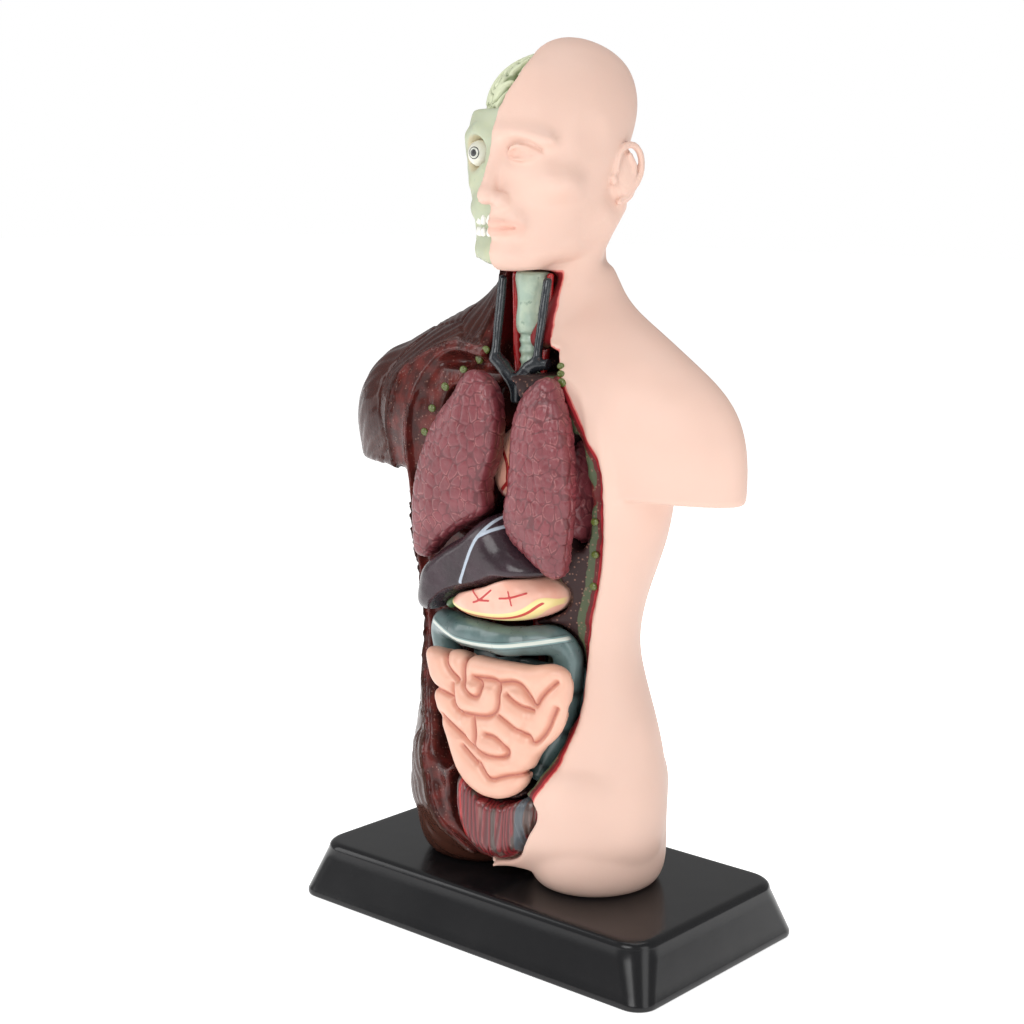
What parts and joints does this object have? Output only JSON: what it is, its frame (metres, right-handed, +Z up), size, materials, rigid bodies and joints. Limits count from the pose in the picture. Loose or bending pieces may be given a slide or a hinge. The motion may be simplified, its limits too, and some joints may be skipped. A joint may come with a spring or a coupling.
{
  "type": "torso anatomy model",
  "caption": "Desktop human torso on a black plinth, half skin and half muscle, with an open front and organs that lift out.",
  "frame": {"origin": "middle of the underside of the plinth", "axes": "+Z up, the chest faces -Y, the model's own left side is at +X"},
  "size_m": [0.1506, 0.0846, 0.28],
  "materials": {
    "plinth": "glossy black moulded plastic",
    "screw": "bright zinc plated steel",
    "body": "satin painted soft plastic, skin on the left half and dark muscle on the right half",
    "tray": "speckled dark red-brown paint",
    "bone": "pale green-cream paint",
    "artery": "glossy red paint",
    "kidney": "glossy red-brown paint",
    "pancreas": "glossy ochre paint",
    "spleen": "glossy dark maroon paint",
    "pelvis": "glossy red and grey-brown fibre relief",
    "cartilage": "satin pale green paint",
    "vein": "glossy slate paint",
    "brain": "satin pale green paint",
    "eye": "glossy cream with a printed black ring",
    "heart": "glossy peach with red vessels",
    "lung": "glossy maroon with a lobed relief",
    "liver": "glossy near-black purple",
    "gall": "glossy green",
    "stomach": "glossy pale pink with a cream lower band",
    "colon": "glossy teal grey with a white band",
    "small_bowel": "satin peach coils"
  },
  "bodies": {
    "torso": {"base_plate": "plinth", "base_screws": "screw", "brain_left": "brain", "cavity_liner": "tray", "descending_aorta": "artery", "duodenum_and_pancreas": "pancreas", "larynx_and_trachea": "cartilage", "left_kidney": "kidney", "neck_arteries": "artery", "neck_veins": "vein", "pelvic_muscles": "pelvis", "right_eyeball": "eye", "right_kidney": "kidney", "spleen": "spleen", "torso_front_shell": "body", "torso_rear_shell": "body", "vertebral_column": "bone"},
    "heart": {"heart": "heart", "great_vessels": "artery"},
    "right_lung": {"right_lung": "lung"},
    "left_lung": {"left_lung": "lung"},
    "stomach": {"stomach": "stomach"},
    "liver": {"liver": "liver", "gallbladder": "gall"},
    "large_intestine": {"large_intestine": "colon"},
    "small_intestine": {"small_intestine": "small_bowel"},
    "brain_right": {"brain_right": "brain"}
  },
  "joints": [
    {"name": "heart_lift_out", "type": "slide", "parent": "torso", "child": "heart", "axis": [0, -1, 0], "range_m": [0, 0.05]},
    {"name": "right_lung_lift_out", "type": "slide", "parent": "heart", "child": "right_lung", "axis": [0, -1, 0], "range_m": [0, 0.05]},
    {"name": "left_lung_lift_out", "type": "slide", "parent": "heart", "child": "left_lung", "axis": [0, -1, 0], "range_m": [0, 0.05]},
    {"name": "stomach_lift_out", "type": "slide", "parent": "torso", "child": "stomach", "axis": [0, -1, 0], "range_m": [0, 0.05]},
    {"name": "liver_lift_out", "type": "slide", "parent": "stomach", "child": "liver", "axis": [0, -1, 0], "range_m": [0, 0.05]},
    {"name": "large_intestine_lift_out", "type": "slide", "parent": "torso", "child": "large_intestine", "axis": [0, -1, 0], "range_m": [0, 0.05]},
    {"name": "small_intestine_lift_out", "type": "slide", "parent": "large_intestine", "child": "small_intestine", "axis": [0, -1, 0], "range_m": [0, 0.04]},
    {"name": "brain_right_lift_out", "type": "slide", "parent": "torso", "child": "brain_right", "axis": [0, 0, 1], "range_m": [0, 0.04]}
  ]
}
